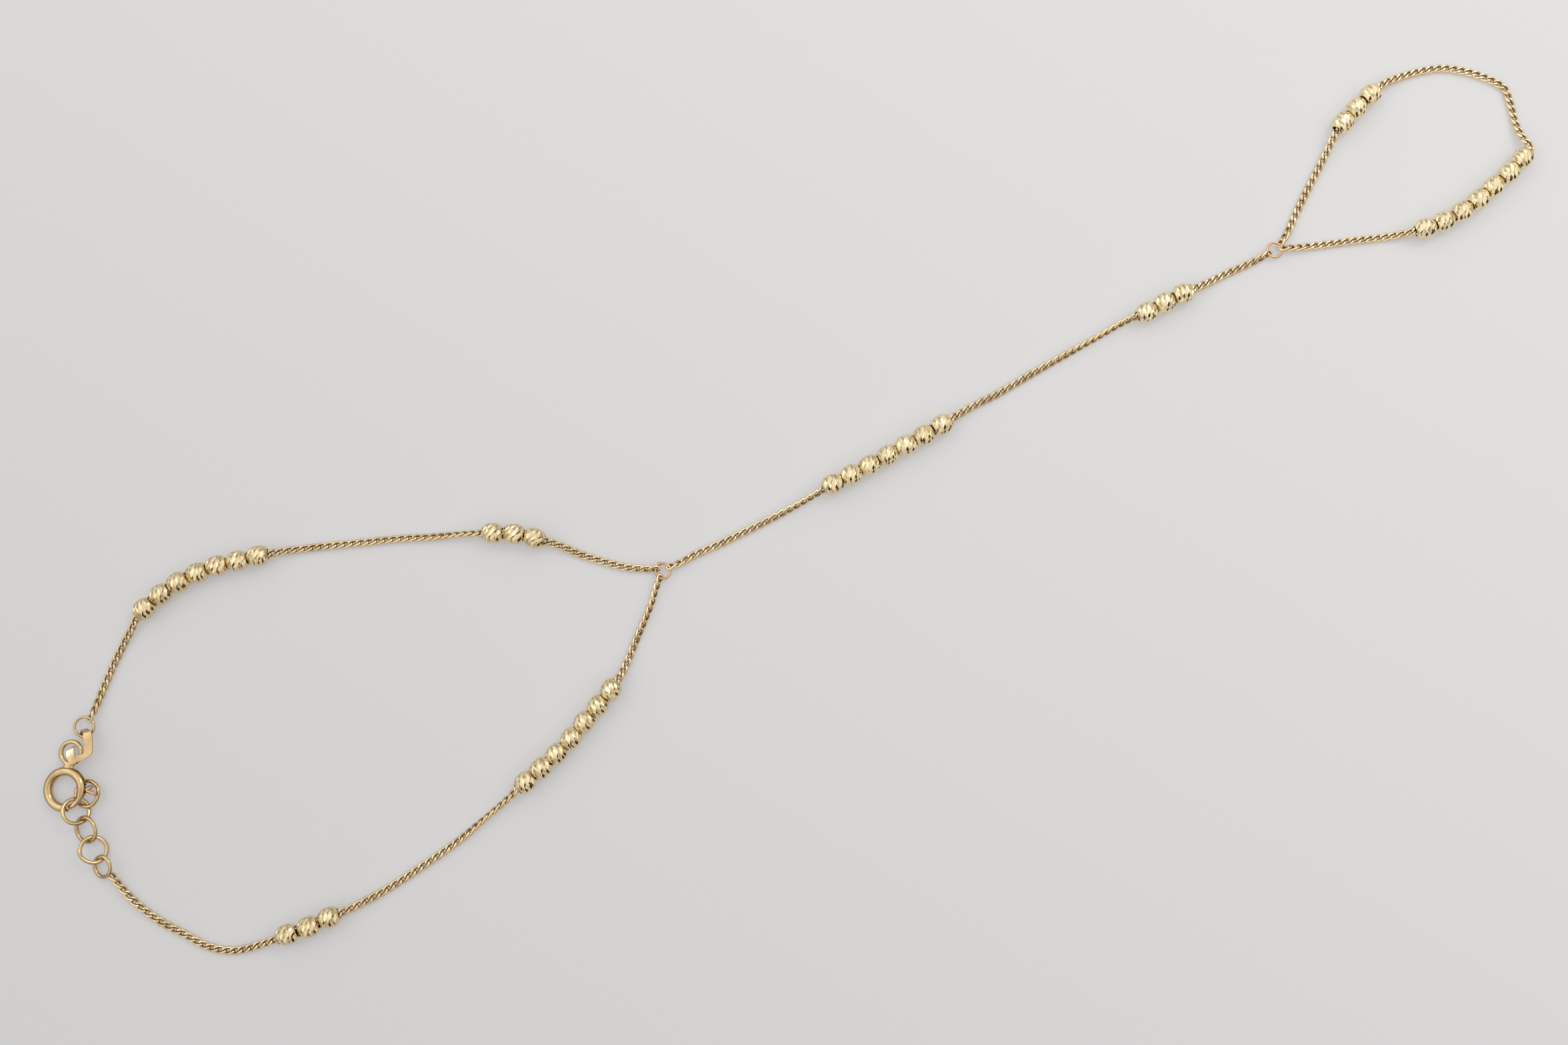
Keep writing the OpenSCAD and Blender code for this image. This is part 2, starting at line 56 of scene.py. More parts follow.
# Routes of the strands, in millimetres: X, Y, how far the chain is raised towards the height of a bead's
# bore, and its turn about its own line in degrees
ROUTES = {
    "finger": [
        (59.6, 31.8, 0.15, -60), (60.8, 33.7, 0.05, -30), (61.5, 35.3, 0, 0), (63.1, 38.5, 0, 0),
        (65.4, 42.9, 0.3, 0), (66.6, 45.5, 0.9, 0), (67.8, 47.3, 1, 0), (69.5, 49.1, 1, 0),
        (71.3, 50.9, 1, 0), (73.5, 52.6, 0.5, 0), (77.2, 54.0, 0, 0), (80.7, 54.6, 0, 0),
        (83.6, 54.2, 0, 0), (86.1, 53.4, 0, 0), (88.3, 52.2, 0, 0), (89.0, 50.7, 0, 0),
        (89.5, 48.4, 0, 0), (89.9, 46.6, 0.3, 0), (90.4, 45.2, 0.7, 0), (91.1, 44.0, 1, 0),
        (90.6, 43.4, 1, 0), (90.0, 42.7, 1, 0), (88.2, 40.8, 1, 0), (86.3, 39.1, 1, 0),
        (84.3, 37.4, 1, 0), (82.2, 35.9, 1, 0), (79.8, 34.6, 1, 0), (77.5, 33.7, 1, 0),
        (75.0, 33.1, 0.4, 0), (72.0, 32.7, 0, 0), (68.5, 32.3, 0, 0), (64.9, 31.8, 0, 0),
        (62.4, 31.5, 0.05, 30), (59.9, 31.3, 0.15, 60)],
    "hand": [
        (-16.2, -8.5, 0.15, -60), (-14.7, -7.9, 0.05, -35), (-13.0, -6.9, 0, -10), (-10.0, -5.6, 0, 0),
        (-4.3, -2.8, 0, 25), (-0.3, -0.7, 0.3, 60), (3.5, 1.5, 1, 30), (6.0, 2.8, 1, 0), (8.3, 4.0, 1, 0),
        (10.5, 5.2, 1, 0), (12.6, 6.4, 1, 0), (14.8, 7.6, 1, 0), (17.0, 8.9, 1, 0), (20.9, 11.3, 0.25, 20),
        (24.4, 13.1, 0, 20), (28.6, 15.6, 0, 25), (32.7, 17.9, 0, 50), (36.8, 20.2, 0, 65),
        (40.0, 22.0, 0.5, 50), (42.7, 23.1, 1, 15), (44.9, 24.3, 1, 0), (47.2, 25.4, 1, 0),
        (50.0, 26.7, 0.4, 0), (52.8, 28.1, 0, 0), (54.8, 29.0, 0, 10), (56.5, 29.8, 0.05, 35),
        (58.1, 30.7, 0.15, 60)],
    "left": [
        (-17.8, -8.7, 0.15, -60), (-19.4, -8.7, 0.05, -35), (-22.2, -8.4, 0, 0), (-27.0, -7.0, 0, 0),
        (-29.7, -5.9, 0.35, 0), (-32.7, -5.0, 1, 0), (-35.2, -4.5, 1, 0), (-38.0, -4.4, 1, 20),
        (-41.5, -4.5, 0.35, 60), (-45.1, -4.8, 0, 30), (-49.0, -5.0, 0, 20), (-54.0, -5.5, 0, 15),
        (-59.8, -6.1, 0, 10), (-63.4, -6.6, 0.4, 0), (-66.4, -7.2, 1, 0), (-68.8, -7.8, 1, 0),
        (-71.3, -8.4, 1, 0), (-73.7, -9.3, 1, 0), (-75.9, -10.4, 1, 0), (-77.9, -11.8, 1, 0),
        (-79.8, -13.5, 1, 0), (-80.9, -14.8, 0.8, 0), (-81.7, -16.3, 0.4, 0), (-83.1, -18.9, 0, 0),
        (-84.4, -22.0, 0, 0), (-85.4, -24.8, 0.05, 25), (-86.2, -26.9, 0.15, 60)],
    "right": [
        (-17.4, -9.8, 0.15, -60), (-17.9, -11.2, 0.05, -60), (-18.6, -13.5, 0, -65), (-20.2, -17.3, 0, -40),
        (-21.5, -20.6, 0.3, 0), (-22.2, -22.0, 0.8, 0), (-23.2, -23.5, 1, 0), (-24.8, -25.5, 1, 0),
        (-26.4, -27.4, 1, 0), (-27.9, -29.3, 1, 0), (-29.6, -31.1, 1, 0), (-31.4, -32.8, 1, 0),
        (-33.3, -34.5, 1, 0), (-34.6, -35.7, 0.8, 30), (-35.9, -36.9, 0.35, 60), (-38.6, -39.2, 0, 60),
        (-42.0, -42.0, 0, 15), (-48.3, -46.3, 0, 0), (-53.0, -49.0, 0.35, 0), (-56.5, -50.5, 1, 0),
        (-58.9, -51.6, 1, 0), (-61.4, -52.5, 1, 0), (-64.6, -53.7, 0.4, 0), (-68.0, -54.5, 0, 0),
        (-71.1, -54.0, 0, 0), (-73.9, -52.6, 0, 0), (-77.0, -51.0, 0, 0), (-80.1, -48.7, 0.1, 30),
        (-82.9, -45.6, 0.25, 60)],
}
CHAIN_NODES = {
    "finger": "finger_chain",
    "hand": "hand_chain",
    "left": "wrist_chain_left",
    "right": "wrist_chain_right",
}
# Stations of beads on each strand: row of the route at their middle, how many, gap as a share of a bead
STATIONS = {
    "finger": [(7, 3, 0.04), (24, 7, 0.06)],
    "hand": [(9, 7, 0.047), (20, 3, 0.04)],
    "left": [(6, 3, 0.06), (17, 7, 0.045)],
    "right": [(9, 7, 0.03), (20, 3, 0.09)],
}
ROUTE_STEPS = 6
REACH = 0.4

# Curb chain in millimetres, as in the frame. The wire that shows is in the settings.
CHAIN_WIDTH = 1.05
CHAIN_WIRE = 0.24
LINK_PITCH = 0.98
LINK_PLAY = 0.12
LINK_TWIST = math.radians(52)
LINK_SQUARENESS = 0.7
LINK_GAP = 0.01
CHAIN_SEAT = 0.012
# Share that rolling leaves of what stands above the flat
LINK_PRESSED = 0.25
RING_WIRE = 0.3
LINK_HALF_WIDTH = (CHAIN_WIDTH - CHAIN_WIRE) / 2
LINK_HALF_LENGTH = (LINK_PITCH + CHAIN_WIRE + LINK_PLAY) / 2
LINK_REACH = (CHAIN_WIRE + RING_WIRE) / 2 + LINK_PLAY / 2
CHAIN_THICKNESS = CHAIN_WIRE + 2 * LINK_HALF_WIDTH * max(
    math.sin(math.radians(t)) ** LINK_SQUARENESS * math.sin(LINK_TWIST * math.cos(math.radians(t)))
    for t in range(0, 95, 5))

# Beads in millimetres
BEAD_DIAMETER = 2.5
BEAD_LENGTH = 2.44
BORE_RADIUS = CHAIN_WIDTH / 2 + 0.12
# Half of the uncut outline: place along half the bead's length, and radius, as shares
BEAD_PROFILE = [(0, 1), (0.43, 0.985), (0.8, 0.81), (0.98, 0.63), (1, 0.6)]
# Borders of the bands of flutes, as shares of that half length
BEAD_BORDERS = [-0.98, -0.43, 0.43, 0.98]
# A flute's depth across its band: place and depth, as shares
FLUTE_DEPTHS = [(0, 0.2), (0.1, 0.7), (0.22, 1), (0.36, 1), (0.5, 1), (0.64, 1), (0.78, 1), (0.9, 0.7),
                (1, 0.2)]
MIDDLE_FLUTES = (10, 11, 12)
SIDE_FLUTES = (8, 9, 11)
# Number of flutes that have the depth in the settings. Fewer flutes are deeper.
FULL_FLUTES = 16
# Least and most of a flute's wide side, of its depth and of the lean of a band's border, as shares
FLUTE_SIDES = (0.6, 0.8)
FLUTE_SHARES = (0.2, 1.6)
LEAN_SHARES = (0.2, 1)
WALL_SHARE = 0.86
CORE_SIDES = 24

# Roughness, wear and strength of the bump of each gold
FINISHES = {
    "chain_gold": (0.13, 0.8, 0.25),
    "bead_gold": (0.1, 0.5, 0.2),
    "rose_gold": (0.18, 0.8, 0.3),
    "clasp_gold": (0.1, 1.0, 0.35),
    "band_gold": (0.12, 1.0, 0.8),
    "trigger_gold": (0.12, 0.8, 0.3),
}
# Scale, detail and roughness of the clouds, grain and dents, and the stretch of the scratches
CLOUDS = (420, 3, 0.55)
GRAIN = (5200, 2, 0.6)
DENTS = (3600, 2, 0.5)
SCRATCH_TURN = (0.4, 0.2, 0.7)
SCRATCH_SCALE = (900, 9000, 2500)
GRAIN_HEIGHT = 4e-6
# Height of the dents against that of the grain
DENT_HEIGHT = 9
# Part of the clouds that is handled
HANDLED = (0.42, 0.68)
# Roughness that handling, grain, hollows and dents add, and that polish takes off
HANDLED_DULL = 0.1
GRAIN_DULL = 0.06
HOLLOW_DULL = 0.15
DENT_DULL = 0.06
POLISH_GLOSS = 0.05
# How much of the shade painted into the hollows shows, and how much more the grain brings out
RECESS_SHADE_SHARE = 0.8
RECESS_SHADE_GRAIN = 0.3
# Where on a wire's inner side the hollow, with its painted shade and duller gloss, begins and is deepest, as
# a cosine
RECESS = (-0.2, 0.5)
# Painted shade: where the gold is darkened towards negative X, along X in metres, and the tint of that
# painted shade
PAINTED_SHADE_SPAN = (-0.1, 0.1)
PAINTED_SHADE_TINT = (0.84, 0.81, 0.76)
# Distances in metres from the band's polished end over which its hammering begins
HAMMERED = (0.0009, 0.0015)
# Paler tint painted on the band's polished end as sheen
POLISHED_SHEEN_TINT = (1.0, 0.95, 0.78)

# Clasp in millimetres, as in the frame
SPRING_RING_MIDDLE = (-88.8, -35.4)
SPRING_RING_HEIGHT = 0.9131
SPRING_TILT = math.radians(9.5)
SPRING_RADIUS = 2.2
TUBE_DIAMETER = 1.1
EYE_DIAMETER = 3.2
EYE_PLACE = 4.45
EYE_ANGLE = math.radians(82)
ROUND_SIDES = 20

# Folded band: X and Y from the eye's middle as shares of its diameter, height as a share of the tube,
# azimuth of the band's width, and that width as a share
BAND_WIDTH = 1.15
BAND_THICKNESS = 0.22
BAND_STEPS = 5
BAND_CREASE = math.radians(35)
BAND = [
    (0.28, 0.50, 0.17, 134, 1), (0.33, 0.62, 0.17, 150, 0.95), (0.36, 0.73, 0.22, 172, 0.85),
    (0.38, 0.81, 0.45, 190, 0.75), (0.44, 0.85, 0.85, 198, 0.7), (0.55, 0.82, 1.18, 196, 0.75),
    (0.64, 0.73, 1.42, 190, 0.85), (0.68, 0.60, 1.51, 184, 0.92), (0.71, 0.40, 1.55, 180, 0.92),
    (0.72, 0.20, 1.55, 180, 0.9), (0.72, 0.03, 1.55, 180, 0.9), (0.67, -0.06, 1.55, 174, 0.87),
    (0.50, -0.15, 1.55, 150, 0.78), (0.32, -0.22, 1.51, 122, 0.72), (0.21, -0.26, 1.45, 83, 0.74),
    (0.11, -0.24, 1.36, 49, 0.86), (0.05, -0.15, 1.27, 33, 0.91), (0.01, -0.03, 1.20, 26, 0.9),
    (-0.01, 0.10, 1.12, 28, 0.9), (-0.02, 0.16, 0.92, 28, 0.9), (-0.03, 0.15, 0.60, 28, 0.85),
    (-0.03, 0.12, 0.30, 28, 0.8)]
# Across the band's width and thickness, with its edges rounded
BAND_SECTION = [(-0.5, -0.35), (-0.47, -0.5), (0, -0.5), (0.47, -0.5), (0.5, -0.35), (0.5, 0.35),
                (0.47, 0.5), (0, 0.5), (-0.47, 0.5), (-0.5, 0.35)]

# Bolt, and the coil spring behind it: diameters, and degrees round the spring ring
BOLT_DIAMETER = 0.66
BOLT_FROM = -86
BOLT_TO = 14
BOLT_STATIONS = 40
# Radius of the first stations from each end, as shares
BOLT_END = (0.7, 0.88, 0.96)
SPRING_WIRE = 0.15
SPRING_COIL = 0.75
SPRING_TO = 74
SPRING_TURNS = 14
SPRING_STEPS = 16
SPRING_SIDES = 6
# The trigger's pin and its two flared prongs: radius, place across it, width and height
TRIGGER = [
    [(2.2, 0, 0.32, 0.32), (2.6, 0, 0.34, 0.34), (2.84, 0, 0.5, 0.5), (3.05, 0, 0.62, 0.56)],
    [(2.95, -0.12, 0.46, 0.56), (3.3, -0.22, 0.52, 0.52), (3.7, -0.38, 0.54, 0.44), (4.0, -0.5, 0.42, 0.34),
     (4.1, -0.54, 0.3, 0.24)],
    [(2.95, 0.12, 0.46, 0.56), (3.2, 0.2, 0.48, 0.54), (3.45, 0.32, 0.46, 0.46), (3.66, 0.42, 0.34, 0.34),
     (3.74, 0.46, 0.24, 0.24)],
]
TRIGGER_SECTION = [(-0.5, -0.2), (-0.25, -0.5), (0.25, -0.5), (0.5, -0.2), (0.5, 0.1), (0.12, 0.5),
                   (-0.12, 0.5), (-0.5, 0.1)]
TRIGGER_STEPS = 3
TRIGGER_CREASE = math.radians(28)

# Soldered neck: from the middle of the spring ring, width, height and height of its middle
NECK = [(2.62, 1.5, 0.66, 0.98), (2.72, 1.35, 0.62, 1.0), (2.86, 1.25, 0.56, 1.01), (3.0, 1.35, 0.52, 1.02),
        (3.15, 1.45, 0.44, 1.02)]
NECK_STEPS = 4
NECK_CREASE = math.radians(60)

# Extension links
EXTENSION_LINKS = 5
LINK_STATIONS = 72
WIRE_SIDES = 14
# Height of the wire as a share of its width, and how far a link is out of round in millimetres
WIRE_FLATTENED = 0.92
UNEVEN = 0.02
# Share by which the wire swells at its solder seam, and the spread of that in square radians
SEAM_SWELL = 0.12
SEAM_SPREAD = 0.03

# Paper floor: half its side in millimetres, and its clouds and grain
FLOOR_HALF = 3000
PAPER_CLOUDS = (9, 3)
PAPER_GRAIN = (1500, 2)
PAPER_MOTTLE = 0.02
PAPER_ROUGHNESS = 0.75
PAPER_BUMP = 0.1
PAPER_HEIGHT = 2e-5
# Painted light falloff: it is darker towards the near left corner: weights of X and Y, where that begins and
# ends, and both shades
FLOOR_SLOPE = (2.6, 4.2)
FLOOR_FALL = (-0.75, 0.75)
FLOOR_SHADES = (0.8, 1.18)

# Lamp and camera
LAMP_PLACE = (0.35, 0.4, 0.6)
LAMP_SIZE = 0.25
LAMP_POWER = 0.6
LAMP_TINT = (1.0, 0.99, 0.97)
SENSOR_WIDTH = 36
CLIPS = (0.01, 20)

# The room. Its parts lie by direction: X, Y and Z, and where each part begins and is whole.
ROOM_LIGHT = 0.4
ROOM_TINT = (1.0, 0.99, 0.975)
CEILING = (0.14, 0.5)
CEILING_LIGHT = 0.62
DARK_ROOM = (0.6, -0.8, 0, 0.45, 0.8)
DARK_ROOM_TOP = (0.34, 0.56)
DARK_ROOM_TINT = (1.0, 0.56, 0.24)
DARK_ROOM_DIMS = 0.92
# The dim front and the dim middle of the ceiling, and the share of the light that each takes
DIM_PARTS = [(0.1, -0.6, 0.79, 0.9, 0.985, 0.5), (0, -0.105, 0.994, 0.988, 0.994, 0.4)]
# The window and the ceiling's lamp, and the light that each adds
BRIGHT_PARTS = [(-0.55, 0.35, 0.76, 0.86, 0.96, 0.5), (0.35, 0.5, 0.79, 0.97, 0.985, 0.35)]


# Routes

def spline(a, b, c, d, t):
    """A point between b and c of a smooth curve through four rows."""
    return tuple(
        0.5 * (2 * q + (r - p) * t + (2 * p - 5 * q + 4 * r - s) * t * t + (3 * q - p - 3 * r + s) * t ** 3)
        for p, q, r, s in zip(a, b, c, d))


def smooth(rows, steps):
    """The rows with steps points from each to the next."""
    last = len(rows) - 1
    fine = []
    for i in range(last):
        for k in range(steps):
            fine.append(spline(rows[max(i - 1, 0)], rows[i], rows[i + 1], rows[min(i + 2, last)], k / steps))
    fine.append(tuple(rows[last]))
    return fine


class Strand:
    """One strand's line over the surface, by length from its first ring."""

    def __init__(self, name):
        self.name = name
        self.points = []
        for x, y, lift, turn in smooth(ROUTES[name], ROUTE_STEPS):
            angle = math.radians(turn)
            low = CHAIN_SEAT + math.hypot(
                CHAIN_WIDTH / 2 * math.sin(angle), CHAIN_THICKNESS / 2 * math.cos(angle))
            self.points.append(Vector((x, y, low + max(lift, 0) * (BEAD_DIAMETER / 2 - low), turn)))
        self.places = [0.0]
        for a, b in zip(self.points, self.points[1:]):
            self.places.append(self.places[-1] + (b.xyz - a.xyz).length)
        self.length = self.places[-1]

    def at(self, place):
        """Position and turn at a length along the strand."""
        place = min(max(place, 0), self.length)
        high = min(bisect.bisect_right(self.places, place), len(self.places) - 1)
        low = high - 1
        span = self.places[high] - self.places[low]
        return self.points[low].lerp(self.points[high], (place - self.places[low]) / span)

    def matrix(self, place):
        """Frame at a length along the strand: X along it, Y across and Z up, turned with the chain."""
        here = self.at(place)
        along = (self.at(place + REACH).xyz - self.at(place - REACH).xyz).normalized()
        level = Vector((0, 0, 1)).cross(along).normalized()
        up = along.cross(level)
        angle = math.radians(here.w)
        across = level * math.cos(angle) + up * math.sin(angle)
        raised = up * math.cos(angle) - level * math.sin(angle)
        return Matrix((
            (along.x, across.x, raised.x, here.x),
            (along.y, across.y, raised.y, here.y),
            (along.z, across.z, raised.z, here.z),
            (0, 0, 0, 1)))

    def link_places(self):
        """Lengths along the strand of the middles of its links."""
        first = LINK_HALF_LENGTH - LINK_REACH
        count = math.floor((self.length + 2 * LINK_REACH - 2 * LINK_HALF_LENGTH) / LINK_PITCH) + 1
        step = (self.length - 2 * first) / (count - 1)
        return [first + step * i for i in range(count)]

    def bead_places(self):
        """Lengths along the strand of the middles of its beads."""
        places = []
        for row, count, gap in STATIONS[self.name]:
            middle = self.places[row * ROUTE_STEPS]
            places += [middle + (k - (count - 1) / 2) * BEAD_LENGTH * (1 + gap) for k in range(count)]
        return places


# Meshes

def new_piece(name, points, faces, smooth=False, soft=None, crease=None, recess=None):
    """A mesh object from points in millimetres. Where soft is given, every edge outside that set is sharp,
    and where crease is given, every edge that bends by more than that angle. Recess says how far each point
    lies in a hollow, from 0 to 1; the chain's gold paints shade there."""
    mesh = bpy.data.meshes.new(name)
    mesh.from_pydata([(x * MM, y * MM, z * MM) for x, y, z in points], [], faces)
    mesh.polygons.foreach_set("use_smooth", [smooth] * len(mesh.polygons))
    if soft is not None:
        flags = mesh.attributes.new("sharp_edge", "BOOLEAN", "EDGE")
        flags.data.foreach_set("value", [tuple(sorted(edge.vertices)) not in soft for edge in mesh.edges])
    if crease is not None:
        mesh.set_sharp_from_angle(angle=crease)
    if recess is not None:
        recess_shade = mesh.attributes.new("recess", "FLOAT", "POINT")
        recess_shade.data.foreach_set("value", recess)
    mesh.validate()
    mesh.update()
    piece = bpy.data.objects.new(name, mesh)
    bpy.context.scene.collection.objects.link(piece)
    return piece


def finish_piece(piece, material, slot, body, *nodes):
    """Gives a piece its material and its body, and hides the nodes that it stands for. The slot is not used.
    """
    piece.data.materials.clear()
    piece.data.materials.append(material)
    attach(piece, body)
    if nodes:
        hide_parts(*nodes)


def dress(nodes, material):
    """Puts a material on nodes of the frame."""
    for name in nodes:
        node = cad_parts[name]
        if not node.material_slots:
            raise RuntimeError(f"node {name} has no material slot")
        for place in node.material_slots:
            place.material = material


def tube_faces(rings, sides, first=0, closed=True):
    """Quads round a tube whose rings of points follow each other."""
    faces = []
    for i in range(rings if closed else rings - 1):
        here = first + i * sides
        beyond = first + (i + 1) % rings * sides
        for j in range(sides):
            k = (j + 1) % sides
            faces.append((here + j, here + k, beyond + k, beyond + j))
    return faces


def loft(rows, closed=False):
    """Points and faces of a skin over rows of points, with its ends closed."""
    sides = len(rows[0])
    faces = tube_faces(len(rows), sides, closed=closed)
    if not closed:
        faces.append(tuple(range(sides))[::-1])
        faces.append(tuple(range((len(rows) - 1) * sides, len(rows) * sides)))
    return [p for row in rows for p in row], faces


def joined(parts):
    """Points and faces of several parts as one."""
    points, faces = [], []
    for part_points, part_faces in parts:
        first = len(points)
        points += part_points
        faces += [tuple(first + k for k in face) for face in part_faces]
    return points, faces


def turns(count):
    """Angles evenly round a circle."""
    return [math.tau * k / count for k in range(count)]


def resting(points):
    """The points, none of them below the floor."""
    return [(x, y, max(z, 0)) for x, y, z in points]


def link_points(wire, flat, steps, sides):
    """Points of one curb link about its middle, X along the chain and Z up."""
    half_width = (CHAIN_WIDTH - wire) / 2
    half_length = (LINK_PITCH + wire) / 2 + LINK_GAP
    line = []
    for t in turns(steps):
        side = half_width * math.copysign(abs(math.sin(t)) ** LINK_SQUARENESS, math.sin(t))
        turn = -LINK_TWIST * math.cos(t)
        line.append(Vector((half_length * math.cos(t), side * math.cos(turn), side * math.sin(turn))))
    points = []
    for i, here in enumerate(line):
        along = (line[(i + 1) % steps] - line[i - 1]).normalized()
        outward = (here - here.dot(along) * along).normalized()
        other = along.cross(outward)
        for angle in turns(sides):
            p = here + wire / 2 * (math.cos(angle) * outward + math.sin(angle) * other)
            # The chain is rolled flat, so what stands above the flat is pressed down
            over = abs(p.z) - flat
            if over > 0:
                p.z = math.copysign(flat + over * LINK_PRESSED, p.z)
            points.append(p)
    return points


def link_recess(steps, sides):
    """How far each point of a link lies in a hollow, where shade is painted: its sides towards its own
    opening do.
    """
    inward = [-math.cos(angle) for angle in turns(sides)]
    return [min(max((c - RECESS[0]) / (RECESS[1] - RECESS[0]), 0), 1) for c in inward] * steps


# Bead

def round_point(place, angle, radius):
    """A point about the bead's bore, X along it."""
    return (place, radius * math.cos(angle), radius * math.sin(angle))


def bead_radius(place):
    """Radius of a bead before it is cut, at a place along its half length."""
    for (a, low), (b, high) in zip(BEAD_PROFILE, BEAD_PROFILE[1:]):
        if abs(place) <= b:
            return BEAD_DIAMETER / 2 * (low + (high - low) * (abs(place) - a) / (b - a))
    return BEAD_DIAMETER / 2 * BEAD_PROFILE[-1][1]


class BeadBand:
    """Slanted flutes round one band of a bead, each with a wide and a narrow side and tapered ends."""

    def __init__(self, settings, chance, flutes, start, end, low, lean):
        self.flutes = flutes
        self.low = low
        self.start = start
        self.end = end
        self.lean = lean
        self.slant = math.tan(settings.slant) / (BEAD_DIAMETER / 2)
        self.turn = chance.uniform(0, math.tau)
        deep = settings.flute_depth / MM * FULL_FLUTES / flutes
        self.cuts = [
            (chance.uniform(*FLUTE_SIDES), deep * chance.uniform(*FLUTE_SHARES)) for _ in range(flutes)]

    def ring(self, share, depth):
        """Ridges and valleys at a share of the way across the band, at a share of the depth."""
        place = (self.start + (self.end - self.start) * share) * BEAD_LENGTH / 2
        radius = bead_radius(self.start + (self.end - self.start) * share) - self.low
        points = []
        for k, (side, deep) in enumerate(self.cuts):
            for part, down in ((0, 0), (side, deep * depth)):
                angle = self.turn + math.tau * (k + part) / self.flutes
                chord = math.cos(math.pi / self.flutes) / math.cos((2 * part - 1) * math.pi / self.flutes)
                across = place + self.lean(angle)
                points.append(round_point(across, angle - place * self.slant, radius * chord - down))
        return points


def bead_mesh(settings, seed):
    """Points, faces and soft edges of one diamond-cut bead about its middle."""
    chance = random.Random(seed)
    lean_at = chance.uniform(0, math.tau)
    lean_by = chance.uniform(*LEAN_SHARES) * settings.band_lean / MM
    points, faces, soft = [], [], set()

    def add(rings, sides, flowing):
        first = len(points)
        faces.extend(tube_faces(len(rings), sides, first, closed=False))
        for ring in rings:
            points.extend(ring)
        for i in flowing:
            start = first + i * sides
            soft.update(tuple(sorted((start + j, start + (j + 1) % sides))) for j in range(sides))

    for i, (start, end) in enumerate(zip(BEAD_BORDERS, BEAD_BORDERS[1:])):
        flutes = chance.choice(MIDDLE_FLUTES if i == 1 else SIDE_FLUTES)
        band = BeadBand(settings, chance, flutes, start, end, 0 if i == 1 else settings.band_step / MM,
                        lambda angle: lean_by * math.cos(angle - lean_at))
        rings = [band.ring(share, depth) for share, depth in FLUTE_DEPTHS]
        walls = [[(x, y * WALL_SHARE, z * WALL_SHARE) for x, y, z in rings[k]] for k in (0, -1)]
        add([walls[0]] + rings + [walls[1]], 2 * flutes, range(2, len(rings)))
    edge = BEAD_BORDERS[-1]
    core = [(edge, bead_radius(edge) * WALL_SHARE), (edge, bead_radius(edge)), (1, bead_radius(1)),
            (1, BORE_RADIUS)]
    core += [(-place, radius) for place, radius in reversed(core)]
    add([[round_point(place * BEAD_LENGTH / 2, angle, radius) for angle in turns(CORE_SIDES)]
         for place, radius in core], CORE_SIDES, ())
    return points, faces, soft


# Clasp and extension

def band_mesh():
    """The folded band."""
    eye = (SPRING_RING_MIDDLE[0] + EYE_PLACE * math.cos(EYE_ANGLE),
           SPRING_RING_MIDDLE[1] + EYE_PLACE * math.sin(EYE_ANGLE))
    line = smooth([(eye[0] + x * EYE_DIAMETER, eye[1] + y * EYE_DIAMETER, z * TUBE_DIAMETER, a, w)
                   for x, y, z, a, w in BAND], BAND_STEPS)
    rows = []
    for i, (x, y, z, azimuth, width) in enumerate(line):
        before, after = line[max(i - 1, 0)], line[min(i + 1, len(line) - 1)]
        along = Vector([q - p for p, q in zip(before[:3], after[:3])]).normalized()
        across = Vector((math.cos(math.radians(azimuth)), math.sin(math.radians(azimuth)), 0))
        out = along.cross(across).normalized()
        rows.append([Vector((x, y, z)) + across * (u * BAND_WIDTH * width) + out * (v * BAND_THICKNESS)
                     for u, v in BAND_SECTION])
    return loft(rows)


def neck_mesh():
    """The soldered neck between the spring ring and its eye."""
    way = Vector((math.cos(EYE_ANGLE), math.sin(EYE_ANGLE), 0))
    side = Vector((-way.y, way.x, 0))
    rows = []
    for place, width, height, middle in smooth(NECK, NECK_STEPS):
        here = Vector(SPRING_RING_MIDDLE + (middle,)) + way * place
        rows.append([
            here + side * (width / 2 * math.cos(angle)) + Vector((0, 0, height / 2 * math.sin(angle)))
            for angle in turns(ROUND_SIDES)])
    return loft(rows)


def on_spring_ring(radius, angle, height):
    """A point in millimetres from the spring ring's own: radius, angle and height above its middle plane."""
    x, y = radius * math.cos(angle), radius * math.sin(angle)
    return Vector((SPRING_RING_MIDDLE[0] + x * math.cos(SPRING_TILT) - height * math.sin(SPRING_TILT),
                   SPRING_RING_MIDDLE[1] + y,
                   SPRING_RING_HEIGHT + x * math.sin(SPRING_TILT) + height * math.cos(SPRING_TILT)))


def bolt_bar():
    """The curved bolt with rounded ends."""
    rows = []
    for i in range(BOLT_STATIONS + 1):
        share = i / BOLT_STATIONS
        angle = math.radians(BOLT_FROM + (BOLT_TO - BOLT_FROM) * share)
        end = int(min(share, 1 - share) * BOLT_STATIONS)
        radius = BOLT_DIAMETER / 2 * (BOLT_END[end] if end < len(BOLT_END) else 1)
        rows.append([on_spring_ring(SPRING_RADIUS + radius * math.cos(t), angle, radius * math.sin(t))
                     for t in turns(ROUND_SIDES)])
    return loft(rows)


def bolt_spring():
    """The coil spring behind the bolt, which shows in the ring's slot."""
    rows = []
    count = SPRING_TURNS * SPRING_STEPS
    coil = (SPRING_COIL - SPRING_WIRE) / 2
    for i in range(count + 1):
        angle = math.radians(BOLT_TO + (SPRING_TO - BOLT_TO) * i / count)
        t = math.tau * i / SPRING_STEPS
        row = []
        for s in turns(SPRING_SIDES):
            out = coil + SPRING_WIRE / 2 * math.cos(s)
            ahead = SPRING_WIRE / 2 * math.sin(s) / SPRING_RADIUS
            row.append(on_spring_ring(SPRING_RADIUS + out * math.cos(t), angle + ahead, out * math.sin(t)))
        rows.append(row)
    return loft(rows)


